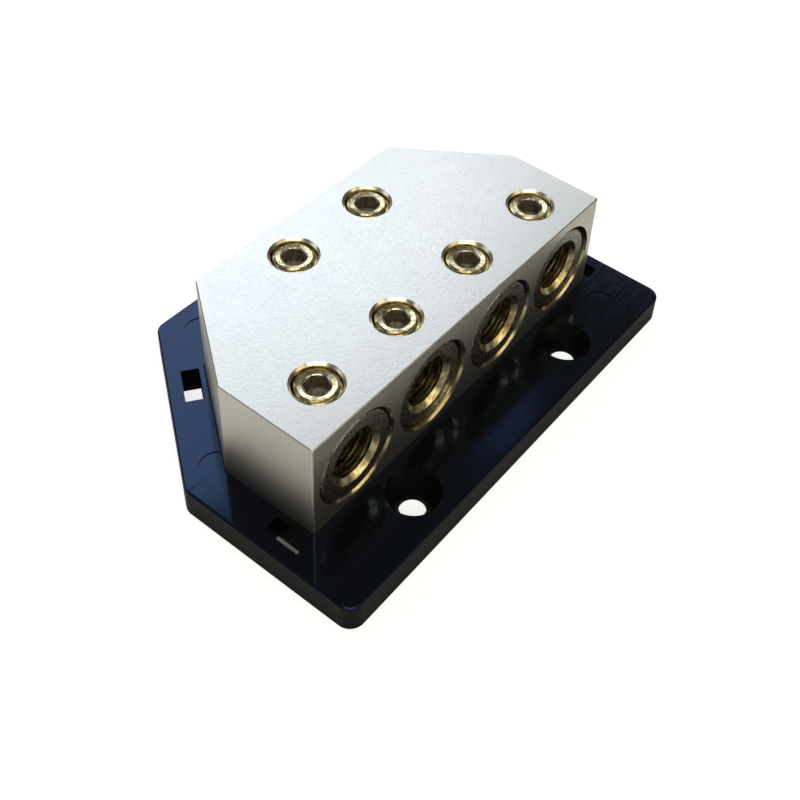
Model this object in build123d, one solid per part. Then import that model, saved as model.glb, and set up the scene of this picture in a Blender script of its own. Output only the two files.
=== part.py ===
# Power distribution block: a plated metal terminal block on a moulded base.
# Four wire bores open on the front face and two on the rear face. Each bore holds
# a loose reducer sleeve, and a set screw from the top clamps the wire in it.
# Millimetres. X runs along the front face, +Y to the rear, +Z up. The origin is at
# the middle of the base's footprint, on the surface that the base stands on.

import os
from math import hypot

from build123d import *

# Wire bores, the walls around them and the block that they add up to
bore_radius = 6.25
bore_rim_bevel = 0.3
pilot_radius = 1.5
pilot_depth = 0.9
wall_between_bores = 1.75
wall_at_ends = 1.375
wall_over_bores = 1.75
wall_between_rows = 4.1
corner_cut_x = 10.45
corner_cut_y = 14.55
block_corner_radius = 0.25
block_edge_bevel = 0.12

# Reducer sleeves. Each bore has one, pushed in by its own amount, left to right
front_sleeve_recess = (0.15, 0.65, 0.25, 0.4)
rear_sleeve_recess = (0.1, 0.15)
sleeve_length = 11.5
sleeve_bore_radius = 3.5
sleeve_gap = 0.2
sleeve_drop = 0.1
sleeve_end_space = 0.25
sleeve_mouth_width = 0.75
sleeve_mouth_depth = 0.6
sleeve_edge_bevel = 0.2
sleeve_window_gap = 0.4

# Set screws, M6, and their threaded holes
set_screw_radius = 3.0
set_screw_fit = 0.06
set_screw_below_top = 0.25
set_screw_above_wire = 0.1
set_screw_crown_bevel = 0.65
set_screw_crown_drop = 0.38
set_screw_point_bevel = 0.6
front_screw_from_face = 6.25
rear_screw_from_face = 5.75
hex_key_size = 3.0
hex_socket_depth = 2.2
hex_socket_lead_in = 0.15
hex_socket_drill_point = 0.6
screw_countersink_rim = 3.38

# Moulded base
base_thickness = 4.0
front_flange = 10.4
side_flange = 5.2
rear_flange = 10.0
base_corner_radius = 2.0
base_top_edge_radius = 0.35
seat_depth = 0.6
seat_clearance = 0.15

# Slots for the snap tabs of a cover
slot_width = 2.4
slot_length = 5.4
slot_from_block = 2.0
side_slot_from_front = 2.4
cut_slot_from_rear_corner = 3.0

# Holes that fasten the base to a panel
mount_hole_radius = 1.75
mount_countersink_radius = 3.55
mount_hole_straight = 0.9
mount_hole_spacing = 33.4
mount_hole_from_front_edge = 5.45
rear_hole_from_rear_edge = 5.0

# Coring of the underside
core_depth = 1.2
core_rim_width = 3.0
core_rib_width = 1.6
core_boss_wall = 1.8
core_smallest_pocket = 30.0

# Ejector pin marks in the top of the base
pin_mark_radius = 2.15
pin_mark_depth = 0.12
pin_mark_beside_block = 0.1
pin_mark_behind_corner = 1.55
pin_mark_rear_x = 14.2
pin_mark_rear_inset = 4.7
pin_mark_front_x = 26.6
pin_mark_front_inset = 6.0

# Fixing screws that hold the block from beneath, M4 countersunk
fixing_screw_radius = 2.0
fixing_screw_fit = 0.06
fixing_screw_reach = 6.0
fixing_hole_spare = 1.0
fixing_head_radius = 3.7
fixing_head_sunk = 0.25
fixing_head_gap = 0.15
fixing_base_gap = 0.25
fixing_from_bore_side = 2.55
fixing_from_bore_end = 5.05
cross_slot_length = 4.2
cross_slot_width = 0.9
cross_slot_depth = 1.3

# Sizes and places that follow from the values above
front_bores = len(front_sleeve_recess)
rear_bores = len(rear_sleeve_recess)
bore_pitch = 2 * bore_radius + wall_between_bores
bore_depth = sleeve_length + max(front_sleeve_recess + rear_sleeve_recess) + sleeve_end_space
block_width = front_bores * bore_pitch - wall_between_bores + 2 * wall_at_ends
block_depth = 2 * bore_depth + wall_between_rows
block_height = 2 * (bore_radius + wall_over_bores)
base_width = block_width + 2 * side_flange
base_depth = front_flange + block_depth + rear_flange
front_edge_y = -base_depth / 2
rear_edge_y = base_depth / 2
front_face_y = front_edge_y + front_flange
rear_face_y = front_face_y + block_depth
cut_start_y = rear_face_y - corner_cut_y
cut_length = hypot(corner_cut_x, corner_cut_y)
block_foot_z = base_thickness - seat_depth
block_top_z = block_foot_z + block_height
bore_axis_z = block_foot_z + block_height / 2
sleeve_axis_z = bore_axis_z - sleeve_drop
sleeve_radius = bore_radius - sleeve_gap
screw_hole_radius = set_screw_radius + set_screw_fit
window_radius = set_screw_radius + sleeve_window_gap
set_screw_top_z = block_top_z - set_screw_below_top
set_screw_tip_z = sleeve_axis_z + sleeve_bore_radius + set_screw_above_wire
set_screw_length = set_screw_top_z - set_screw_tip_z
mount_hole_y = front_edge_y + mount_hole_from_front_edge
rear_hole_y = rear_edge_y - rear_hole_from_rear_edge
side_slot_y = front_face_y + side_slot_from_front
tapped_radius = fixing_screw_radius + fixing_screw_fit
rear_row_half = (rear_bores * bore_pitch - wall_between_bores) / 2
fixing_screw_x = rear_row_half + fixing_from_bore_side + tapped_radius
fixing_screw_y = front_face_y + bore_depth + fixing_from_bore_end + tapped_radius
from_foot = (Align.CENTER, Align.CENTER, Align.MIN)
from_top = (Align.CENTER, Align.CENTER, Align.MAX)


def row_of(count, pitch):
    """X places of a row of things, centred on the middle plane."""
    return [(i - (count - 1) / 2) * pitch for i in range(count)]


def cut_line_x(y, outward):
    """X of the line along the cut rear corner, moved outward from the block's face."""
    along_block = block_width / 2 - (y - cut_start_y) * corner_cut_x / corner_cut_y
    return along_block + outward * cut_length / corner_cut_y


def six_sided(front_y, side_x, rear_y, outward):
    """Outline of the block or base: a rectangle with two cut rear corners."""
    turn_y = cut_start_y + (
        block_width / 2 + outward * cut_length / corner_cut_y - side_x
    ) * corner_cut_y / corner_cut_x
    rear_x = cut_line_x(rear_y, outward)
    right = [(side_x, front_y), (side_x, turn_y), (rear_x, rear_y)]
    left = [(-x, y) for x, y in reversed(right)]
    return Polygon(*right, *left, align=None)


def block_outline(grow=0.0):
    return six_sided(
        front_face_y - grow, block_width / 2 + grow, rear_face_y + grow, grow
    )


def base_outline(inset=0.0):
    return six_sided(
        front_edge_y + inset,
        base_width / 2 - inset,
        rear_edge_y - inset,
        side_flange - inset,
    )


class Bore:
    """One wire bore: the face it opens in, the way into the block, its screw and sleeve."""

    def __init__(self, x, face_y, way, screw_from_face, sleeve_recess, usual_recess):
        self.x = x
        self.face_y = face_y
        self.way = way
        self.screw_y = face_y + way * screw_from_face
        self.sleeve_recess = sleeve_recess
        self.window_from_sleeve_end = screw_from_face - usual_recess

    def inward(self, z, depth=0.0):
        """Places a solid that is drawn along +Z so that it runs into the block."""
        return Pos(self.x, self.face_y + self.way * depth, z) * Rot(X=-90 * self.way)


def bore_row(row, face_y, way, screw_from_face, recesses):
    usual = sum(recesses) / len(recesses)
    places = zip(row_of(len(recesses), bore_pitch), recesses)
    return {
        f"{row}_{number}": Bore(x, face_y, way, screw_from_face, recess, usual)
        for number, (x, recess) in enumerate(places, 1)
    }


bores = bore_row("front", front_face_y, 1, front_screw_from_face, front_sleeve_recess)
bores |= bore_row("rear", rear_face_y, -1, rear_screw_from_face, rear_sleeve_recess)


def fixing_places():
    return [(-fixing_screw_x, fixing_screw_y), (fixing_screw_x, fixing_screw_y)]


def slot_places():
    """Each snap slot: its middle and the angle of its long side from X."""
    share = 1 - cut_slot_from_rear_corner / cut_length
    out_x = corner_cut_y / cut_length * slot_from_block
    out_y = corner_cut_x / cut_length * slot_from_block
    cut_x = block_width / 2 - share * corner_cut_x + out_x
    cut_y = cut_start_y + share * corner_cut_y + out_y
    side_x = block_width / 2 + slot_from_block
    lean = Vector(-corner_cut_x, corner_cut_y, 0).get_angle(Vector(1, 0, 0))
    places = [(side_x, side_slot_y, 90), (cut_x, cut_y, lean)]
    return places + [(-x, y, 180 - angle) for x, y, angle in places]


def mount_places():
    spread = mount_hole_spacing / 2
    return [(-spread, mount_hole_y), (spread, mount_hole_y), (0, rear_hole_y)]


def pin_mark_places():
    """Marks half under the block's cut corners, in the rear flange and in front."""
    corner = (block_width / 2 + pin_mark_beside_block, cut_start_y + pin_mark_behind_corner)
    rear = (pin_mark_rear_x, rear_edge_y - pin_mark_rear_inset)
    front = (pin_mark_front_x, front_edge_y + pin_mark_front_inset)
    return [(side * x, y) for x, y in (corner, rear, front) for side in (-1, 1)]


# The block: a milled bar with bevelled edges, blind wire bores and tapped holes.
# A wire bore ends flat, with the point of its pilot drill left in the middle
def terminal_block():
    body = extrude(block_outline(), block_height)
    upright = body.edges().filter_by(Axis.Z)
    body = fillet(upright, block_corner_radius)
    ends = body.faces().sort_by(Axis.Z)
    body = chamfer(ends[0].edges() + ends[-1].edges(), block_edge_bevel)
    body = Pos(0, 0, block_foot_z) * body
    hollow = Cylinder(bore_radius, bore_depth, align=from_foot)
    hollow += Cone(bore_radius + bore_rim_bevel, bore_radius, bore_rim_bevel, align=from_foot)
    hollow += Pos(0, 0, bore_depth) * Cone(pilot_radius, 0, pilot_depth, align=from_foot)
    sink_depth = screw_countersink_rim - screw_hole_radius
    screw_hole = Cylinder(screw_hole_radius, block_height / 2, align=from_top)
    screw_hole += Cone(screw_hole_radius, screw_countersink_rim, sink_depth, align=from_top)
    for bore in bores.values():
        body -= bore.inward(bore_axis_z) * hollow
        body -= Pos(bore.x, bore.screw_y, block_top_z) * screw_hole
    tapped_depth = fixing_screw_reach + fixing_hole_spare
    tapped = Cylinder(tapped_radius, tapped_depth, align=from_foot)
    for x, y in fixing_places():
        body -= Pos(x, y, block_foot_z) * tapped
    return body


# A set screw: a short threaded stub with a hexagon socket, clear of the wire bore
def set_screw(bore):
    stub = Cylinder(set_screw_radius, set_screw_length, align=from_foot)
    rims = stub.edges().filter_by(GeomType.CIRCLE).sort_by(Axis.Z)
    stub = chamfer(rims[0], set_screw_point_bevel)
    rims = stub.edges().filter_by(GeomType.CIRCLE).sort_by(Axis.Z)
    top = stub.faces().sort_by(Axis.Z)[-1]
    stub = chamfer(rims[-1], set_screw_crown_bevel, set_screw_crown_drop, reference=top)
    socket = extrude(
        RegularPolygon(hex_key_size / 2, 6, major_radius=False), -hex_socket_depth
    )
    corner_radius = hex_key_size / 3**0.5
    lead_in = Cone(
        corner_radius - hex_socket_lead_in / 2,
        corner_radius + hex_socket_lead_in,
        hex_socket_lead_in * 1.5,
        align=from_top,
    )
    point = Cone(0, hex_key_size / 2, hex_socket_drill_point, align=from_top)
    stub -= Pos(0, 0, set_screw_length) * socket
    stub -= Pos(0, 0, set_screw_length) * lead_in
    stub -= Pos(0, 0, set_screw_length - hex_socket_depth) * point
    return Pos(bore.x, bore.screw_y, set_screw_tip_z) * stub


# A reducer sleeve: a turned tube with a coned mouth and a window for the set screw
def reducer_sleeve(bore):
    tube = Cylinder(sleeve_radius, sleeve_length, align=from_foot)
    tube = chamfer(tube.edges().filter_by(GeomType.CIRCLE), sleeve_edge_bevel)
    tube -= Cylinder(sleeve_bore_radius, sleeve_length, align=from_foot)
    tube -= Cone(
        sleeve_bore_radius + sleeve_mouth_width,
        sleeve_bore_radius,
        sleeve_mouth_depth,
        align=from_foot,
    )
    window = Rot(X=90 * bore.way) * Cylinder(window_radius, bore_radius, align=from_foot)
    tube -= Pos(0, 0, bore.window_from_sleeve_end) * window
    return bore.inward(sleeve_axis_z, bore.sleeve_recess) * tube


# The base: one moulding with a seat for the block, slots, holes and a cored underside
def base_plate():
    plate = extrude(base_outline(), base_thickness)
    plate = fillet(plate.edges().filter_by(Axis.Z), base_corner_radius)
    plate = fillet(plate.faces().sort_by(Axis.Z)[-1].edges(), base_top_edge_radius)
    for x, y in pin_mark_places():
        plate -= Pos(x, y, base_thickness) * Cylinder(pin_mark_radius, pin_mark_depth, align=from_top)
    plate -= Pos(0, 0, block_foot_z) * extrude(block_outline(seat_clearance), seat_depth)
    for x, y, angle in slot_places():
        plate -= Pos(x, y) * Rot(Z=angle) * Box(
            slot_length, slot_width, base_thickness, align=from_foot
        )
    for x, y in mount_places():
        plate -= Pos(x, y) * Cylinder(mount_hole_radius, base_thickness, align=from_foot)
        plate -= Pos(x, y, base_thickness) * Cone(
            mount_hole_radius,
            mount_countersink_radius,
            base_thickness - mount_hole_straight,
            align=from_top,
        )
    for pocket in underside_pockets():
        plate -= extrude(pocket, core_depth)
    sink_rim = fixing_head_radius + fixing_head_gap
    sink_throat = fixing_screw_radius + fixing_base_gap
    for x, y in fixing_places():
        plate -= Pos(x, y) * Cylinder(sink_throat, block_foot_z, align=from_foot)
        plate -= Pos(x, y) * Cylinder(sink_rim, fixing_head_sunk, align=from_foot)
        plate -= Pos(x, y, fixing_head_sunk) * Cone(
            sink_rim, sink_throat, sink_rim - sink_throat, align=from_foot
        )
    return plate


def underside_pockets():
    """The cored area: all of the footprint but the rim, ribs, bosses and slot walls."""
    pockets = base_outline(core_rim_width)
    for x, y in mount_places():
        pockets -= Pos(x, y) * Circle(mount_countersink_radius + core_boss_wall)
        pockets -= Pos(x, 0) * Rectangle(core_rib_width, base_depth)
    for x, y in fixing_places():
        pockets -= Pos(x, y) * Circle(fixing_head_radius + core_boss_wall)
    for y in (side_slot_y, fixing_screw_y):
        pockets -= Pos(0, y) * Rectangle(base_width, core_rib_width)
    for x, y, angle in slot_places():
        walled = Rectangle(slot_length + 2 * core_boss_wall, slot_width + 2 * core_boss_wall)
        pockets -= Pos(x, y) * Rot(Z=angle) * walled
    return [face for face in pockets.faces() if face.area > core_smallest_pocket]


# A fixing screw: countersunk head in the underside, shank up into the block
def fixing_screw(x, y):
    cone_height = fixing_head_radius - fixing_screw_radius
    head = Cone(fixing_head_radius, fixing_screw_radius, cone_height, align=from_foot)
    shank_length = block_foot_z - fixing_head_sunk + fixing_screw_reach
    screw = head + Cylinder(fixing_screw_radius, shank_length, align=from_foot)
    for angle in (0, 90):
        screw -= Rot(Z=angle) * Box(
            cross_slot_length, cross_slot_width, cross_slot_depth, align=from_foot
        )
    return Pos(x, y, fixing_head_sunk) * screw


nodes = {"terminal_block": terminal_block(), "base_plate": base_plate()}
for name, bore in bores.items():
    nodes[f"set_screw_{name}"] = set_screw(bore)
    nodes[f"reducer_sleeve_{name}"] = reducer_sleeve(bore)
for side, (x, y) in zip(("left", "right"), fixing_places()):
    nodes[f"fixing_screw_{side}"] = fixing_screw(x, y)

os.makedirs("parts", exist_ok=True)
for node, solid in nodes.items():
    export_step(solid, f"parts/{node}.step")
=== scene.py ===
import random
from math import cos, hypot, pi, radians, sin

import bmesh
import bpy
from mathutils import Euler, Matrix, Vector


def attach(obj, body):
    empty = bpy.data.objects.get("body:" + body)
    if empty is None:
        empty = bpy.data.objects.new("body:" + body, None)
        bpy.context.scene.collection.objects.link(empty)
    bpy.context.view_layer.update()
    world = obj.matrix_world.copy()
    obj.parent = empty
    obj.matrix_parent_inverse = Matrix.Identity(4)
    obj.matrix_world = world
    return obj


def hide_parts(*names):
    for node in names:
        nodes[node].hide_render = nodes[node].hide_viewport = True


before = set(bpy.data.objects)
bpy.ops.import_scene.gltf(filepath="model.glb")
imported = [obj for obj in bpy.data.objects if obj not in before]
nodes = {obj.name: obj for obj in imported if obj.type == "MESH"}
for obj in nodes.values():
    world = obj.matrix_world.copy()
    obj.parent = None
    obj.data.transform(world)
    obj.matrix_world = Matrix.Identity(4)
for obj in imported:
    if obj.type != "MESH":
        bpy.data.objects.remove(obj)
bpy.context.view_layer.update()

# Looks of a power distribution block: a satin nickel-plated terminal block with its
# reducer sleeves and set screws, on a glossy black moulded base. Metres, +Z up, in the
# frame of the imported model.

MM = 0.001


# The camera is held close over the front left corner and turned a little about its own
# axis. Its frame is square, and the block stands to the left of the middle of the lens.
camera_azimuth = radians(-57.35)
camera_elevation = radians(41.91)
camera_roll = radians(5.99)
camera_distance = 142.57 * MM
camera_target = Vector((0.05, -14.18, 27.97)) * MM
camera_data = bpy.data.cameras.new("camera")
camera_data.lens = 54.2
camera_data.sensor_width = 36.0
camera_data.clip_start = 0.005
camera_data.shift_x = -0.0976
camera_data.shift_y = -0.1784
camera = bpy.data.objects.new("camera", camera_data)
bpy.context.scene.collection.objects.link(camera)
turn = Euler((pi / 2 - camera_elevation, 0, camera_azimuth)).to_matrix()
turn = turn @ Matrix.Rotation(camera_roll, 3, "Z")
camera.matrix_world = Matrix.Translation(
    camera_target + turn.col[2] * camera_distance
) @ turn.to_4x4()
bpy.context.scene.camera = camera
bpy.context.scene.view_settings.view_transform = "Standard"


# The floor is a sheet of white paper that curves up to a low wall all round, so every
# view has a white background. It keeps the soft shadow of the block, and it is clear from
# beneath, so that the underside of the base can be seen.
def linear(hex_colour):
    """A #RRGGBB colour in linear light."""
    channels = [int(hex_colour[i:i + 2], 16) / 255 for i in (1, 3, 5)]
    return [c / 12.92 if c <= 0.04045 else ((c + 0.055) / 1.055) ** 2.4 for c in channels] + [1.0]


def add(tree, kind, inputs=None, **settings):
    """Adds a node. An input is a value, or an output socket that is linked to it."""
    made = tree.nodes.new(kind)
    for name, value in settings.items():
        setattr(made, name, value)
    for socket, value in (inputs or {}).items():
        if isinstance(value, bpy.types.NodeSocket):
            tree.links.new(value, made.inputs[socket])
        else:
            made.inputs[socket].default_value = value
    return made


def new_tree(name):
    """A material, its empty node tree and the output that a shader is linked to."""
    material = bpy.data.materials.new(name)
    material.use_nodes = True
    tree = material.node_tree
    tree.nodes.clear()
    return material, tree, add(tree, "ShaderNodeOutputMaterial")


def new_piece(name, mesh):
    piece = bpy.data.objects.new(name, mesh)
    bpy.context.scene.collection.objects.link(piece)
    return piece


paper_white = "#B6B4B0"
paper_glow = 0.76
paper_glow_in_metal = 0.42
paper_far_glow_in_metal = 0.0
paper_contact_reach = 18 * MM
paper_contact_power = 2.5
paper_near_reach = 60 * MM
paper_far_reach = 160 * MM
paper_shade_in_front = 0.45
paper_shade_full_y = -45 * MM
paper_shade_end_y = -22 * MM
front_slot_x = 31.0 * MM
front_slot_y = -11.85 * MM
front_slot_shade_half_width = 1.9 * MM
front_slot_shade_half_length = 3.4 * MM
paper_flat_radius = 0.75
paper_curve_radius = 0.35
paper_curve_steps = 8
paper_wall_height = 0.55
paper_sides = 96

paper, tree, output = new_tree("white_paper_sweep")
rays = add(tree, "ShaderNodeLightPath")
place = add(tree, "ShaderNodeTexCoord").outputs["Object"]
along = add(tree, "ShaderNodeSeparateXYZ", {0: place})

# The camera sees the paper glow white, except in the patch under the two front slots. There the glow
# is left out as painted shade, so the paper shows grey.
seen = add(tree, "ShaderNodeMath",
           {0: rays.outputs["Is Camera Ray"], 1: rays.outputs["Is Transmission Ray"]},
           operation="MAXIMUM")
aside = add(tree, "ShaderNodeMath", {0: along.outputs["X"]}, operation="ABSOLUTE")
in_width = add(tree, "ShaderNodeMath",
               {0: aside.outputs[0], 1: front_slot_x, 2: front_slot_shade_half_width},
               operation="COMPARE")
in_length = add(tree, "ShaderNodeMath",
                {0: along.outputs["Y"], 1: front_slot_y, 2: front_slot_shade_half_length},
                operation="COMPARE")
in_slot = add(tree, "ShaderNodeMath", {0: in_width.outputs[0], 1: in_length.outputs[0]},
              operation="MULTIPLY")
own_glow = add(tree, "ShaderNodeMapRange",
               {"Value": in_slot.outputs[0], "To Min": paper_glow, "To Max": 0.0})
direct = add(tree, "ShaderNodeMath", {0: seen.outputs[0], 1: own_glow.outputs[0]},
             operation="MULTIPLY")

# Metal mirrors it darker: beside the base, far out, and in front of the wire bores. This is painted
# shade: occlusion, the distance from the block and a band in front dim the glow and the paper tone
# that glossy rays see.
near = add(tree, "ShaderNodeAmbientOcclusion", {"Distance": paper_contact_reach}, samples=8)
openness = add(tree, "ShaderNodeMath", {0: near.outputs["AO"], 1: paper_contact_power},
               operation="POWER")
reach = add(tree, "ShaderNodeVectorMath", {0: place}, operation="LENGTH")
falling = add(tree, "ShaderNodeMapRange",
              {"Value": reach.outputs["Value"],
               "From Min": paper_near_reach, "From Max": paper_far_reach,
               "To Min": paper_glow_in_metal, "To Max": paper_far_glow_in_metal})
shaded = add(tree, "ShaderNodeMapRange",
             {"Value": along.outputs["Y"],
              "From Min": paper_shade_full_y, "From Max": paper_shade_end_y,
              "To Min": paper_shade_in_front, "To Max": 1.0})
mirrored = add(tree, "ShaderNodeMath", {0: openness.outputs[0], 1: falling.outputs[0]},
               operation="MULTIPLY")
mirrored = add(tree, "ShaderNodeMath", {0: mirrored.outputs[0], 1: shaded.outputs[0]},
               operation="MULTIPLY")
glow = add(tree, "ShaderNodeMath",
           {0: rays.outputs["Is Glossy Ray"], 1: mirrored.outputs[0], 2: direct.outputs[0]},
           operation="MULTIPLY_ADD")
# Painted shade: glossy rays see the paper's tone darker in front of the block.
tone = add(tree, "ShaderNodeMix",
           {"Factor": rays.outputs["Is Glossy Ray"], 2: 1.0, 3: shaded.outputs[0]})
tone = add(tree, "ShaderNodeMix",
           {"Factor": 1.0, 6: linear(paper_white), 7: tone.outputs[0]},
           data_type="RGBA", blend_type="MULTIPLY")
matt = add(tree, "ShaderNodeBsdfDiffuse", {"Color": tone.outputs[2]})
shine = add(tree, "ShaderNodeEmission", {"Strength": glow.outputs[0]})
both = add(tree, "ShaderNodeAddShader", {0: matt.outputs[0], 1: shine.outputs[0]})
clear = add(tree, "ShaderNodeBsdfTransparent")
beneath = add(tree, "ShaderNodeNewGeometry").outputs["Backfacing"]
sheet_side = add(tree, "ShaderNodeMixShader",
                 {0: beneath, 1: both.outputs[0], 2: clear.outputs[0]})
tree.links.new(sheet_side.outputs[0], output.inputs["Surface"])

profile = [(paper_flat_radius, 0.0)]
for step in range(1, paper_curve_steps + 1):
    angle = step / paper_curve_steps * pi / 2
    profile.append((
        paper_flat_radius + paper_curve_radius * sin(angle),
        paper_curve_radius * (1 - cos(angle)),
    ))
profile.append((paper_flat_radius + paper_curve_radius, paper_wall_height))
round_angles = [2 * pi * i / paper_sides for i in range(paper_sides)]
sheet = bmesh.new()
rings = []
for radius, height in profile:
    rings.append([
        sheet.verts.new((radius * cos(angle), radius * sin(angle), height))
        for angle in round_angles
    ])
sheet.faces.new(rings[0])
for low, high in zip(rings, rings[1:]):
    for i in range(paper_sides):
        j = (i + 1) % paper_sides
        sheet.faces.new((low[i], low[j], high[j], high[i]))
bmesh.ops.recalc_face_normals(sheet, faces=sheet.faces)
sheet.faces.ensure_lookup_table()
if sheet.faces[0].normal.z < 0:
    bmesh.ops.reverse_faces(sheet, faces=sheet.faces)
floor_mesh = bpy.data.meshes.new("floor")
sheet.to_mesh(floor_mesh)
sheet.free()
floor_mesh.polygons.foreach_set("use_smooth", [True] * len(floor_mesh.polygons))
floor_mesh.materials.append(paper)
floor = new_piece("floor", floor_mesh)


# Soft studio light in a dim room. Three cool panels and a small window stand beyond the
# far side, where the top face mirrors them. Warm panels stand on the camera's side, at the
# front right, overhead and low in front of the bores, and a cool one stands behind.
def soft_panel(name, azimuth, elevation, distance, size, radiance, colour):
    """A rectangular lamp that faces the block. Azimuth is counted from +X towards +Y."""
    data = bpy.data.lights.new(name, "AREA")
    data.shape = "RECTANGLE"
    data.size, data.size_y = size
    data.energy = radiance * pi * size[0] * size[1]
    data.color = linear(colour)[:3]
    lamp = bpy.data.objects.new(name, data)
    bpy.context.scene.collection.objects.link(lamp)
    around, up = radians(azimuth), radians(elevation)
    lamp.location = Vector((cos(around) * cos(up), sin(around) * cos(up), sin(up))) * distance
    lamp.rotation_euler = lamp.location.to_track_quat("Z", "Y").to_euler()
    lamp.visible_camera = False


soft_panel("cool_panel", 66, 40.5, 0.75, (0.54, 0.40), 2.70, "#DAE7FF")
soft_panel("middle_panel", 35, 39.5, 0.75, (0.100, 0.200), 3.6, "#DFEAFF")
soft_panel("side_panel", 21, 29.5, 0.80, (0.253, 0.275), 1.8, "#E6EEFF")
soft_panel("far_window", 28, 49, 0.75, (0.05, 0.08), 0.6, "#BFD0FF")
soft_panel("camera_side_panel", 222, 46, 0.85, (0.86, 0.30), 2.9, "#FFF9EC")
soft_panel("warm_panel", 285, 36, 0.85, (0.40, 0.30), 1.2, "#FFEEC8")
soft_panel("overhead_panel", 212, 84, 0.80, (0.45, 0.45), 2.1, "#FFF9EE")
soft_panel("low_panel", -78, 17, 0.70, (0.56, 0.18), 1.5, "#FFF4DA")
soft_panel("back_panel", 128, 30, 0.80, (0.45, 0.25), 1.2, "#DCE8FA")
world = bpy.data.worlds.new("dim_room")
bpy.context.scene.world = world
world.use_nodes = True
room = world.node_tree.nodes["Background"]
room.inputs["Color"].default_value = linear("#B4B2AE")
room.inputs["Strength"].default_value = 0.24


# The base is one injection moulding in black ABS. Its top was moulded against a polished
# steel face, so it mirrors the block, with a slight ripple and rubbing marks. The bluish
# cast of its reflections is painted, by a blue specular tint. The walls, slots and holes
# were moulded against a spark-eroded face and are satin.
# Rubbing marks and spark grain are drawn coarser than real, so that they show.
ripple_size = 6.0 * MM
rub_spacing = 0.30 * MM
spark_grain_size = 0.25 * MM
gloss_lowest_height = 3.6
level_enough = 0.3
merge_distance = 0.001 * MM
crease_angle = radians(30)

gloss_abs, tree, output = new_tree("moulded_gloss_black_abs")
place = add(tree, "ShaderNodeTexCoord").outputs["Object"]
ripple = add(tree, "ShaderNodeTexNoise",
             {"Vector": place, "Scale": 1 / ripple_size, "Detail": 1.0})
lengthwise = add(tree, "ShaderNodeMapping", {"Vector": place, "Scale": (0.12, 1.0, 1.0)})
rubbing = add(tree, "ShaderNodeTexNoise",
              {"Vector": lengthwise.outputs[0], "Scale": 1 / rub_spacing,
               "Detail": 3.0, "Roughness": 0.6})
dull = add(tree, "ShaderNodeMapRange",
           {"Value": rubbing.outputs["Fac"], "From Min": 0.42, "From Max": 0.75,
            "To Min": 0.09, "To Max": 0.17})
swell = add(tree, "ShaderNodeBump",
            {"Height": ripple.outputs["Fac"], "Strength": 0.05, "Distance": 0.1 * MM})
grain = add(tree, "ShaderNodeBump",
            {"Height": rubbing.outputs["Fac"], "Strength": 0.06, "Distance": 0.02 * MM,
             "Normal": swell.outputs[0]})
# The blue Specular Tint paints a bluish cast into the mirrored light.
plastic = add(tree, "ShaderNodeBsdfPrincipled",
              {"Base Color": linear("#0B0A0A"), "Roughness": dull.outputs[0], "IOR": 1.50,
               "Specular Tint": linear("#8CBBFF"), "Normal": grain.outputs[0]})
tree.links.new(plastic.outputs[0], output.inputs["Surface"])

satin_abs, tree, output = new_tree("moulded_satin_black_abs")
place = add(tree, "ShaderNodeTexCoord").outputs["Object"]
sparks = add(tree, "ShaderNodeTexNoise",
             {"Vector": place, "Scale": 1 / spark_grain_size, "Detail": 2.0})
grain = add(tree, "ShaderNodeBump",
            {"Height": sparks.outputs["Fac"], "Strength": 0.3, "Distance": 0.03 * MM})
plastic = add(tree, "ShaderNodeBsdfPrincipled",
              {"Base Color": linear("#080807"), "Roughness": 0.45, "IOR": 1.45,
               "Specular IOR Level": 0.12, "Normal": grain.outputs[0]})
tree.links.new(plastic.outputs[0], output.inputs["Surface"])


def merged_copy(node_name, piece_name, materials, finish_of):
    """A merged copy of a CAD node whose faces get one of several materials."""
    shell = bmesh.new()
    shell.from_mesh(nodes[node_name].data)
    bmesh.ops.remove_doubles(shell, verts=shell.verts, dist=merge_distance)
    for face in shell.faces:
        face.material_index = finish_of(face)
        face.smooth = True
    mesh = bpy.data.meshes.new(piece_name)
    shell.to_mesh(mesh)
    shell.free()
    mesh.attributes.remove(mesh.attributes["custom_normal"])
    mesh.set_sharp_from_angle(angle=crease_angle)
    for material in materials:
        mesh.materials.append(material)
    piece = new_piece(piece_name, mesh)
    weighted = piece.modifiers.new("flat_faces_stay_flat", "WEIGHTED_NORMAL")
    weighted.keep_sharp = True
    weighted.weight = 100
    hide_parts(node_name)
    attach(piece, "block_and_base")
    return piece


def base_finish(face):
    """0 for the polished top, 1 for the walls, the slots, the holes and the underside."""
    lowest = min(vertex.co.z for vertex in face.verts)
    return 0 if face.normal.z > level_enough and lowest > gloss_lowest_height * MM else 1


base = merged_copy("base_plate", "base_plate_moulded", (gloss_abs, satin_abs), base_finish)


# The terminal block is milled from bar, drilled, bead-blasted and nickel plated. The
# blasted faces are satin with a fine grain, drawn coarser than real so that it shows. The
# bores and countersinks were cut after blasting, so they are bright and show tool marks.
front_bore_x = (-21.375, -7.125, 7.125, 21.375)
rear_bore_x = (-7.125, 7.125)
front_face_y = -14.25
rear_face_y = 14.65
bore_places = [(x, front_face_y, 1) for x in front_bore_x]
bore_places += [(x, rear_face_y, -1) for x in rear_bore_x]
bore_axis_height = 11.4
bore_rim_radius = 6.55
bore_reach = 13.4
front_screw_y = -8.0
rear_screw_y = 8.9
screw_places = [(x, front_screw_y) for x in front_bore_x]
screw_places += [(x, rear_screw_y) for x in rear_bore_x]
countersink_rim_radius = 3.38
rim_slack = 0.01

# Bead marks and tool marks are a few times coarser than real.
bead_size = 0.32 * MM
cloud_size = 9.0 * MM
stain_size = 1.2 * MM

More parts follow.
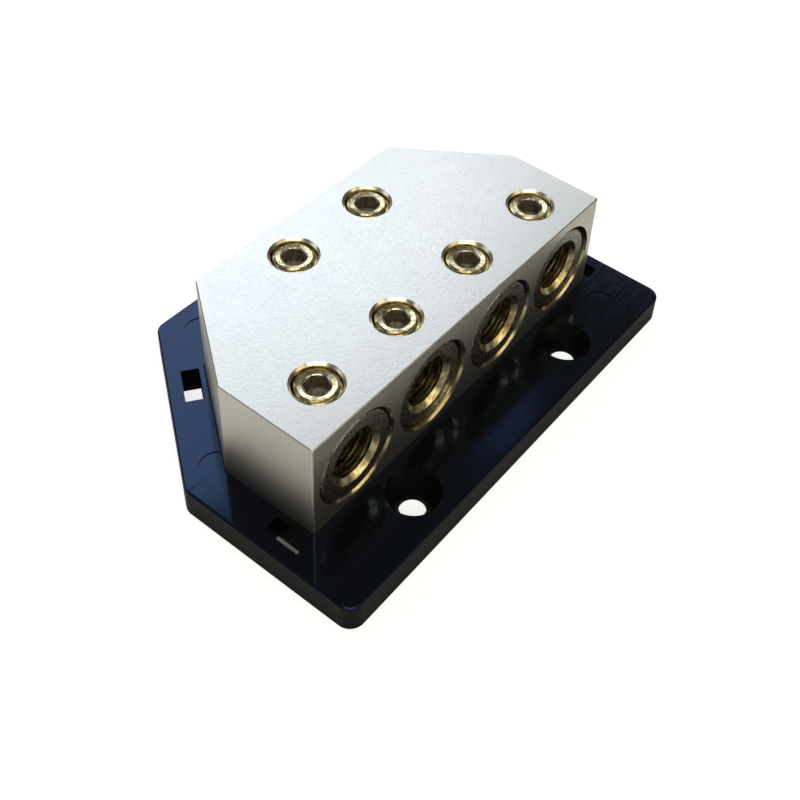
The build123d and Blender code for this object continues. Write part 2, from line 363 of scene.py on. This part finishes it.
blasted_nickel, tree, output = new_tree("bead_blasted_nickel_plate")
place = add(tree, "ShaderNodeTexCoord").outputs["Object"]
beads = add(tree, "ShaderNodeTexNoise", {"Vector": place, "Scale": 1 / bead_size, "Detail": 2.0})
clouds = add(tree, "ShaderNodeTexNoise", {"Vector": place, "Scale": 1 / cloud_size, "Detail": 2.0})
tone = add(tree, "ShaderNodeMix",
           {"Factor": clouds.outputs["Fac"], 6: linear("#CECABD"), 7: linear("#D6D3C6")},
           data_type="RGBA")
speckle = add(tree, "ShaderNodeMapRange",
              {"Value": beads.outputs["Fac"], "From Min": 0.4, "From Max": 0.6,
               "To Min": 0.95, "To Max": 1.0})
tone = add(tree, "ShaderNodeMix",
           {"Factor": 1.0, 6: tone.outputs[2], 7: speckle.outputs[0]},
           data_type="RGBA", blend_type="MULTIPLY")
satin = add(tree, "ShaderNodeMapRange",
            {"Value": beads.outputs["Fac"], "From Min": 0.3, "From Max": 0.7,
             "To Min": 0.32, "To Max": 0.39})
dimples = add(tree, "ShaderNodeBump",
              {"Height": beads.outputs["Fac"], "Strength": 0.8, "Distance": 0.02 * MM})
metal = add(tree, "ShaderNodeBsdfPrincipled",
            {"Base Color": tone.outputs[2], "Metallic": 1.0, "Roughness": satin.outputs[0],
             "Normal": dimples.outputs[0]})
tree.links.new(metal.outputs[0], output.inputs["Surface"])


def machined_nickel(name, colour, marks_run_across, mark_spacing, roughness):
    """Bright nickel with fine tool marks, which are thin slices across the given axis."""
    material, tree, output = new_tree(name)
    place = add(tree, "ShaderNodeTexCoord").outputs["Object"]
    slices = add(tree, "ShaderNodeMapping", {"Vector": place, "Scale": marks_run_across})
    marks = add(tree, "ShaderNodeTexNoise",
                {"Vector": slices.outputs[0], "Scale": 1 / mark_spacing,
                 "Detail": 2.0, "Roughness": 0.6})
    stains = add(tree, "ShaderNodeTexNoise",
                 {"Vector": place, "Scale": 1 / stain_size, "Detail": 3.0})
    tone = add(tree, "ShaderNodeMapRange",
               {"Value": stains.outputs["Fac"], "From Min": 0.4, "From Max": 0.6,
                "To Min": 0.75, "To Max": 1.0})
    shade = add(tree, "ShaderNodeMix",
                {"Factor": 1.0, 6: linear(colour), 7: tone.outputs[0]},
                data_type="RGBA", blend_type="MULTIPLY")
    dull = add(tree, "ShaderNodeMapRange",
               {"Value": marks.outputs["Fac"], "From Min": 0.3, "From Max": 0.7,
                "To Min": roughness * 0.7, "To Max": roughness * 1.3})
    ridges = add(tree, "ShaderNodeBump",
                 {"Height": marks.outputs["Fac"], "Strength": 0.6, "Distance": 0.03 * MM})
    metal = add(tree, "ShaderNodeBsdfPrincipled",
                {"Base Color": shade.outputs[2], "Metallic": 1.0, "Roughness": dull.outputs[0],
                 "Normal": ridges.outputs[0]})
    tree.links.new(metal.outputs[0], output.inputs["Surface"])
    return material


bored_nickel = machined_nickel(
    "bored_nickel_plate", "#DCCBA0", (0.05, 1.0, 0.05), 0.20 * MM, 0.18)
drilled_nickel = machined_nickel(
    "countersunk_nickel_plate", "#F8ECCE", (0.05, 0.05, 1.0), 0.16 * MM, 0.25)


def block_finish(face):
    """0 for a blasted face, 1 for a wire bore or its bevel, 2 for a screw hole."""
    points = [vertex.co / MM for vertex in face.verts]
    for x, face_y, way in bore_places:
        if all(hypot(p.x - x, p.z - bore_axis_height) < bore_rim_radius + rim_slack
               and -rim_slack <= (p.y - face_y) * way <= bore_reach for p in points):
            return 1
    for x, y in screw_places:
        if all(hypot(p.x - x, p.y - y) < countersink_rim_radius + rim_slack
               and p.z > bore_axis_height for p in points):
            return 2
    return 0


block = merged_copy("terminal_block", "terminal_block_plated",
                    (blasted_nickel, bored_nickel, drilled_nickel), block_finish)


# The reducer sleeves are turned from bar, drilled through and parted off, so the wall
# inside has coarse drill marks, the coned mouth is bright and the end face is granular.
# A window in the top of each one lets the set screw's point through.
sleeve_radius = 6.05
sleeve_bore_radius = 3.5
sleeve_length = 11.5
sleeve_edge_bevel = 0.2
mouth_radius = 4.25
mouth_depth = 0.6
window_radius = 3.4
window_drill_offset = 1.01 * sleeve_radius
drill_mark_pitch = 0.62
drill_mark_depth = 0.09
drill_mark_shallowest = 0.3
drill_mark_seed = 7
sleeve_sides = 96
sleeve_axis_height = 11.3
sleeve_crease_angle = radians(28)
square_to_axis = 0.99

# Grit and turning marks are drawn coarser than real, so that they show.
grit_size = 0.30 * MM
turning_size = 0.34 * MM
tarnish_size = 0.7 * MM

# One drill mark: shares of its depth, with their places as shares of the pitch.
drill_mark_outline = ((0.8, -0.2), (1.0, 0.0), (0.3, 0.3), (0.0, 0.4))


def add_rings(shape, rings, closed=False):
    """Joins rings of points with faces and returns the rings of vertices."""
    made = [[shape.verts.new(Vector(point) * MM) for point in ring] for ring in rings]
    pairs = list(zip(made, made[1:]))
    if closed:
        pairs.append((made[-1], made[0]))
    for one, other in pairs:
        for i in range(len(one)):
            j = (i + 1) % len(one)
            shape.faces.new((one[i], one[j], other[j], other[i]))
    return made


def ring(radius, height, sides):
    """A level ring of points. The radius is a number or a function of the angle."""
    points = []
    for i in range(sides):
        angle = 2 * pi * i / sides
        reach = radius(angle) if callable(radius) else radius
        points.append((reach * cos(angle), reach * sin(angle), height))
    return points


def sleeve_template(name, window_from_end):
    """A sleeve whose mouth is at the origin and whose bore runs along +Z."""
    uneven = random.Random(drill_mark_seed)
    profile = [
        (sleeve_radius - sleeve_edge_bevel, sleeve_length),
        (sleeve_radius, sleeve_length - sleeve_edge_bevel),
        (sleeve_radius, sleeve_edge_bevel),
        (sleeve_radius - sleeve_edge_bevel, 0.0),
        (mouth_radius, 0.0),
        (sleeve_bore_radius, mouth_depth),
    ]
    depth = mouth_depth + drill_mark_pitch / 2
    while depth < sleeve_length - drill_mark_pitch:
        cut = drill_mark_depth * uneven.uniform(drill_mark_shallowest, 1.0)
        for deep, onward in drill_mark_outline:
            profile.append((sleeve_bore_radius + cut * deep, depth + drill_mark_pitch * onward))
        depth += drill_mark_pitch
    profile.append((sleeve_bore_radius, sleeve_length))
    shape = bmesh.new()
    add_rings(shape, [ring(r, z, sleeve_sides) for r, z in profile], closed=True)
    bmesh.ops.recalc_face_normals(shape, faces=shape.faces)
    tube_mesh = bpy.data.meshes.new(name)
    shape.to_mesh(tube_mesh)
    shape.free()
    tube = new_piece(name, tube_mesh)
    drill = bmesh.new()
    bmesh.ops.create_cone(
        drill, cap_ends=True, segments=sleeve_sides,
        radius1=window_radius * MM, radius2=window_radius * MM, depth=2 * sleeve_radius * MM,
        matrix=Matrix.Translation(Vector((0, -window_drill_offset, window_from_end)) * MM)
        @ Matrix.Rotation(pi / 2, 4, "X"),
    )
    drill_mesh = bpy.data.meshes.new("window_drill")
    drill.to_mesh(drill_mesh)
    drill.free()
    drill_piece = new_piece("window_drill", drill_mesh)
    cut = tube.modifiers.new("window", "BOOLEAN")
    cut.object = drill_piece
    cut.solver = "EXACT"
    graph = bpy.context.evaluated_depsgraph_get()
    finished = bpy.data.meshes.new_from_object(tube.evaluated_get(graph))
    finished.name = name
    tube.modifiers.clear()
    tube.data = finished
    bpy.data.objects.remove(drill_piece)
    finished.polygons.foreach_set("use_smooth", [True] * len(finished.polygons))
    finished.set_sharp_from_angle(angle=sleeve_crease_angle)
    return tube


turned_nickel, tree, output = new_tree("turned_and_parted_nickel_plate")
place = add(tree, "ShaderNodeTexCoord").outputs["Object"]
grit = add(tree, "ShaderNodeTexNoise",
           {"Vector": place, "Scale": 1 / grit_size, "Detail": 3.0, "Roughness": 0.65})
slices = add(tree, "ShaderNodeMapping", {"Vector": place, "Scale": (0.25, 1.0, 0.25)})
turning = add(tree, "ShaderNodeTexNoise",
              {"Vector": slices.outputs[0], "Scale": 1 / turning_size,
               "Detail": 2.0, "Roughness": 0.6})
tarnish = add(tree, "ShaderNodeTexNoise",
              {"Vector": place, "Scale": 1 / tarnish_size, "Detail": 4.0})
speckle = add(tree, "ShaderNodeMapRange",
              {"Value": grit.outputs["Fac"], "From Min": 0.42, "From Max": 0.66})
streaks = add(tree, "ShaderNodeMapRange",
              {"Value": turning.outputs["Fac"], "From Min": 0.38, "From Max": 0.64})
patches = add(tree, "ShaderNodeMapRange",
              {"Value": tarnish.outputs["Fac"], "From Min": 0.38, "From Max": 0.6})
parted = add(tree, "ShaderNodeAttribute", attribute_name="parted_end").outputs["Fac"]
drilled = add(tree, "ShaderNodeAttribute", attribute_name="drilled_wall").outputs["Fac"]
bright = add(tree, "ShaderNodeMix",
             {"Factor": patches.outputs[0], 6: linear("#B9A36A"), 7: linear("#F6E8B8")},
             data_type="RGBA")
# Painted shade and glints: the drilled wall is toned dark brown for the shade deep in the bore, and
# gold along the real drill marks as painted glints.
drilled_wall_shade_and_glints = add(tree, "ShaderNodeMix",
            {"Factor": streaks.outputs[0], 6: linear("#5A4A38"), 7: linear("#D8C694")},
            data_type="RGBA")
grey = add(tree, "ShaderNodeMix",
           {"Factor": speckle.outputs[0], 6: linear("#68645C"), 7: linear("#D2CCBC")},
           data_type="RGBA")
tone = add(tree, "ShaderNodeMix",
           {"Factor": drilled, 6: bright.outputs[2], 7: drilled_wall_shade_and_glints.outputs[2]}, data_type="RGBA")
tone = add(tree, "ShaderNodeMix",
           {"Factor": parted, 6: tone.outputs[2], 7: grey.outputs[2]}, data_type="RGBA")
coarse = add(tree, "ShaderNodeMath", {0: parted, 1: drilled}, operation="ADD")
dull = add(tree, "ShaderNodeMapRange", {"Value": coarse.outputs[0], "To Min": 0.26, "To Max": 0.32})
depth = add(tree, "ShaderNodeMapRange", {"Value": parted, "To Min": 0.4, "To Max": 0.7})
relief = add(tree, "ShaderNodeMix",
             {"Factor": parted, 2: turning.outputs["Fac"], 3: grit.outputs["Fac"]})
pits = add(tree, "ShaderNodeBump",
           {"Height": relief.outputs[0], "Strength": depth.outputs[0], "Distance": 0.09 * MM})
metal = add(tree, "ShaderNodeBsdfPrincipled",
            {"Base Color": tone.outputs[2], "Metallic": 1.0, "Roughness": dull.outputs[0],
             "Normal": pits.outputs[0]})
tree.links.new(metal.outputs[0], output.inputs["Surface"])


def mark_faces(mesh, name, is_marked):
    """Writes 1 on the faces for which the test of centre (in mm) and normal holds."""
    flags = mesh.attributes.new(name, "FLOAT", "FACE")
    for face, flag in zip(mesh.polygons, flags.data):
        flag.value = 1.0 if is_marked(face.center / MM, face.normal) else 0.0


# The tree puts a copy of a piece at one of several places, turned about its own axis by
# chance where it may be. It serves the sleeves and the set screws.
placing = bpy.data.node_groups.new("piece_at_its_place", "GeometryNodeTree")
for socket_name, kind in (
    ("Places", "Geometry"), ("Piece", "Object"), ("Finish", "Material"),
    ("Number", "Int"), ("Largest Turn", "Float"), ("Seed", "Int"),
):
    placing.interface.new_socket(socket_name, in_out="INPUT", socket_type="NodeSocket" + kind)
placing.interface.new_socket("Placed Piece", in_out="OUTPUT", socket_type="NodeSocketGeometry")
given = add(placing, "NodeGroupInput").outputs
chosen = add(placing, "FunctionNodeCompare",
             {2: add(placing, "GeometryNodeInputIndex").outputs[0], 3: given["Number"]},
             data_type="INT", operation="EQUAL")
piece_data = add(placing, "GeometryNodeObjectInfo", {"Object": given["Piece"]})
facing = add(placing, "GeometryNodeInputNamedAttribute", {"Name": "facing"}, data_type="FLOAT_VECTOR")
spin = add(placing, "FunctionNodeRandomValue",
           {2: 0.0, 3: given["Largest Turn"], 8: given["Seed"]}, data_type="FLOAT")
spin = add(placing, "ShaderNodeCombineXYZ", {"Z": spin.outputs[1]})
first = add(placing, "FunctionNodeEulerToRotation", {0: facing.outputs["Attribute"]})
second = add(placing, "FunctionNodeEulerToRotation", {0: spin.outputs[0]})
faced = add(placing, "FunctionNodeRotateRotation",
            {"Rotation": first.outputs[0], "Rotate By": second.outputs[0]}, rotation_space="LOCAL")
copies = add(placing, "GeometryNodeInstanceOnPoints",
             {"Points": given["Places"], "Selection": chosen.outputs[0],
              "Instance": piece_data.outputs["Geometry"], "Rotation": faced.outputs[0]})
real = add(placing, "GeometryNodeRealizeInstances", {"Geometry": copies.outputs[0]})
finished = add(placing, "GeometryNodeSetMaterial",
               {"Geometry": real.outputs[0], "Material": given["Finish"]})
add(placing, "NodeGroupOutput", {"Placed Piece": finished.outputs[0]})


def put_in_place(names, places, facings, piece, finish, largest_turn, seed):
    """One plain mesh object for each name, at its place in millimetres."""
    spots = bpy.data.meshes.new("places")
    spots.from_pydata([Vector(place) * MM for place in places], [], [])
    attribute = spots.attributes.new("facing", "FLOAT_VECTOR", "POINT")
    for entry, angles in zip(attribute.data, facings):
        entry.vector = angles
    holder = new_piece("places", spots)
    modifier = holder.modifiers.new("placing", "NODES")
    modifier.node_group = placing
    sockets = {item.name: item.identifier for item in placing.interface.items_tree}
    made = []
    for number, name in enumerate(names):
        modifier[sockets["Piece"]] = piece
        modifier[sockets["Finish"]] = finish
        modifier[sockets["Number"]] = number
        modifier[sockets["Largest Turn"]] = largest_turn
        modifier[sockets["Seed"]] = seed
        holder.update_tag()
        graph = bpy.context.evaluated_depsgraph_get()
        mesh = bpy.data.meshes.new_from_object(holder.evaluated_get(graph))
        mesh.name = name
        made.append(new_piece(name, mesh))
    holder.modifiers.clear()
    bpy.data.objects.remove(holder)
    return made


def on_parted_end(centre, normal):
    """The parted-off ends of a sleeve, and its outside, which the bore hides."""
    outside = hypot(centre.x, centre.y) > mouth_radius + sleeve_edge_bevel
    return abs(normal.z) > square_to_axis or outside


def on_drilled_wall(centre, normal):
    """The wall of the bore inside the coned mouth."""
    from_axis = hypot(centre.x, centre.y)
    return from_axis < sleeve_bore_radius + drill_mark_depth and centre.z > mouth_depth


sleeve_rows = (
    ("front", front_bore_x, (0.15, 0.65, 0.25, 0.4), front_face_y, 1, front_screw_y),
    ("rear", rear_bore_x, (0.1, 0.15), rear_face_y, -1, rear_screw_y),
)
for row, axes, recesses, face_y, way, screw_y in sleeve_rows:
    usual_recess = sum(recesses) / len(recesses)
    window_from_end = abs(screw_y - face_y) - usual_recess
    template = sleeve_template(f"sleeve_template_{row}", window_from_end)
    mark_faces(template.data, "parted_end", on_parted_end)
    mark_faces(template.data, "drilled_wall", on_drilled_wall)
    names = [f"reducer_sleeve_{row}_{number}_turned" for number in range(1, len(axes) + 1)]
    places = [(x, face_y + way * recess, sleeve_axis_height) for x, recess in zip(axes, recesses)]
    facings = [(-pi / 2, 0, 0 if way == 1 else pi)] * len(axes)
    sleeves = put_in_place(
        names, places, facings, template, turned_nickel, largest_turn=0.0, seed=3)
    for number, sleeve in enumerate(sleeves, 1):
        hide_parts(f"reducer_sleeve_{row}_{number}")
        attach(sleeve, "block_and_base")
    bpy.data.objects.remove(template)


# The set screws are M6 stubs with a rolled thread, a broached hexagon socket, a slightly
# dished top and a flat crown bevel. They are steel, nickel plated and bright. The socket
# is toned darker and less metallic as painted shade. Each one stopped at its own turn.
set_screw_top_height = 19.15
set_screw_length = 4.25
thread_crest_radius = 2.97
thread_root_radius = 2.39
thread_pitch = 1.0
thread_crest_half_flat = 1 / 16
thread_flank_share = 5 / 16
crown_flat_radius = 2.35
crown_drop = 0.38
dish_depth = 0.09
point_flat_radius = 2.4
hexagon_half_width = 1.5
hexagon_depth = 2.2
hexagon_drill_point = 0.6
lead_in_radius = 1.76
lead_in_foot_radius = 1.66
lead_in_depth = 0.10
drill_tip_radius = 0.02
edge_step = 0.01
broached_slack = 0.02
screw_sides = 72
rows_per_turn = 16
shared_turn = radians(-3)
largest_own_turn = radians(14)
turn_seed = 11
wear_size = 0.6 * MM
score_size = 0.25 * MM


def hexagon_radius(angle):
    """The hexagon's reach from its middle at an angle."""
    return hexagon_half_width / cos(angle % (pi / 3) - pi / 6)


def lead_in_foot(angle):
    """The foot of the round lead-in, which opens to the hexagon's corners."""
    return max(hexagon_radius(angle), lead_in_foot_radius)


def thread_radius(height):
    """Radius of the thread at a height, as a function of the angle round the screw."""
    def radius(angle):
        phase = (height / thread_pitch - angle / (2 * pi)) % 1.0
        from_crest = abs(phase - 0.5)
        slope = min(max((from_crest - thread_crest_half_flat) / thread_flank_share, 0.0), 1.0)
        thread = thread_crest_radius + (thread_root_radius - thread_crest_radius) * slope
        crown = crown_flat_radius - height * (thread_crest_radius - crown_flat_radius) / crown_drop
        return min(thread, crown, point_flat_radius + height + set_screw_length)
    return radius


shape = bmesh.new()
inner_rings = [
    ring(drill_tip_radius, -hexagon_depth - hexagon_drill_point, screw_sides),
    ring(hexagon_half_width - edge_step, -hexagon_depth, screw_sides),
    ring(hexagon_radius, -hexagon_depth, screw_sides),
    ring(hexagon_radius, -dish_depth - lead_in_depth, screw_sides),
    ring(lead_in_foot, -dish_depth - lead_in_depth + edge_step, screw_sides),
    ring(lead_in_radius, -dish_depth, screw_sides),
    ring(crown_flat_radius, 0.0, screw_sides),
]
row_height = thread_pitch / rows_per_turn
thread_rings = []
height = -row_height
while height > -set_screw_length + row_height / 2:
    thread_rings.append(ring(thread_radius(height), height, screw_sides))
    height -= row_height
last_ring = [ring(point_flat_radius, -set_screw_length, screw_sides)]
made = add_rings(shape, inner_rings + thread_rings + last_ring)
shape.faces.new(made[0])
shape.faces.new(made[-1])
bmesh.ops.recalc_face_normals(shape, faces=shape.faces)
for face in shape.faces:
    face.smooth = True

# The rings of the socket, the top and the foot are sharp edges, and so are the corners of
# the hexagon. The thread is shaded smooth.
sharp_rings = list(range(1, len(inner_rings))) + [len(made) - 1]
for number in sharp_rings:
    for i in range(screw_sides):
        edge = shape.edges.get((made[number][i], made[number][(i + 1) % screw_sides]))
        edge.smooth = False
for i in range(0, screw_sides, screw_sides // 6):
    shape.edges.get((made[2][i], made[3][i])).smooth = False
screw_mesh = bpy.data.meshes.new("set_screw_template")
shape.to_mesh(screw_mesh)
shape.free()
screw_template = new_piece("set_screw_template", screw_mesh)


def in_socket(centre, normal):
    """The faces of the broached socket below its lead-in."""
    highest = broached_slack - dish_depth - lead_in_depth
    return hypot(centre.x, centre.y) < lead_in_radius and centre.z < highest


mark_faces(screw_mesh, "broached", in_socket)

screw_nickel, tree, output = new_tree("bright_nickel_plated_steel")
place = add(tree, "ShaderNodeTexCoord").outputs["Object"]
wear = add(tree, "ShaderNodeTexNoise", {"Vector": place, "Scale": 1 / wear_size, "Detail": 3.0})
patches = add(tree, "ShaderNodeMapRange",
              {"Value": wear.outputs["Fac"], "From Min": 0.38, "From Max": 0.6})
scores = add(tree, "ShaderNodeTexNoise", {"Vector": place, "Scale": 1 / score_size, "Detail": 2.0})
broached = add(tree, "ShaderNodeAttribute", attribute_name="broached").outputs["Fac"]
bright = add(tree, "ShaderNodeMix",
             {"Factor": patches.outputs[0], 6: linear("#A09266"), 7: linear("#DACEA6")},
             data_type="RGBA")
# Painted shade: the socket's darker tone, and below its lower metallic value.
socket_shade = add(tree, "ShaderNodeMix",
            {"Factor": patches.outputs[0], 6: linear("#625A4A"), 7: linear("#827864")},
            data_type="RGBA")
tone = add(tree, "ShaderNodeMix",
           {"Factor": broached, 6: bright.outputs[2], 7: socket_shade.outputs[2]}, data_type="RGBA")
dull = add(tree, "ShaderNodeMapRange", {"Value": broached, "To Min": 0.20, "To Max": 0.50})
bare = add(tree, "ShaderNodeMapRange", {"Value": broached, "To Min": 1.0, "To Max": 0.5})
marks = add(tree, "ShaderNodeBump",
            {"Height": scores.outputs["Fac"], "Strength": 0.5, "Distance": 0.03 * MM})
metal = add(tree, "ShaderNodeBsdfPrincipled",
            {"Base Color": tone.outputs[2], "Metallic": bare.outputs[0], "Roughness": dull.outputs[0],
             "Normal": marks.outputs[0]})
tree.links.new(metal.outputs[0], output.inputs["Surface"])

screw_names = [f"set_screw_front_{number}" for number in (1, 2, 3, 4)]
screw_names += [f"set_screw_rear_{number}" for number in (1, 2)]
threaded_names = [f"{name}_threaded" for name in screw_names]
screw_spots = [(x, y, set_screw_top_height) for x, y in screw_places]
screw_facings = [(0, 0, shared_turn)] * len(screw_spots)
threaded = put_in_place(
    threaded_names, screw_spots, screw_facings, screw_template, screw_nickel,
    largest_turn=largest_own_turn, seed=turn_seed)
for name, piece in zip(screw_names, threaded):
    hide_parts(name)
    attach(piece, name)
bpy.data.objects.remove(screw_template)


# The fixing screws hold the block from beneath. They are zinc-plated steel with a cross
# slot, and show only in the underside of the base.
zinc_steel = machined_nickel("zinc_plated_steel", "#C6CAD0", (1.0, 1.0, 0.3), 0.20 * MM, 0.28)
for side in ("left", "right"):
    nodes[f"fixing_screw_{side}"].material_slots[0].material = zinc_steel
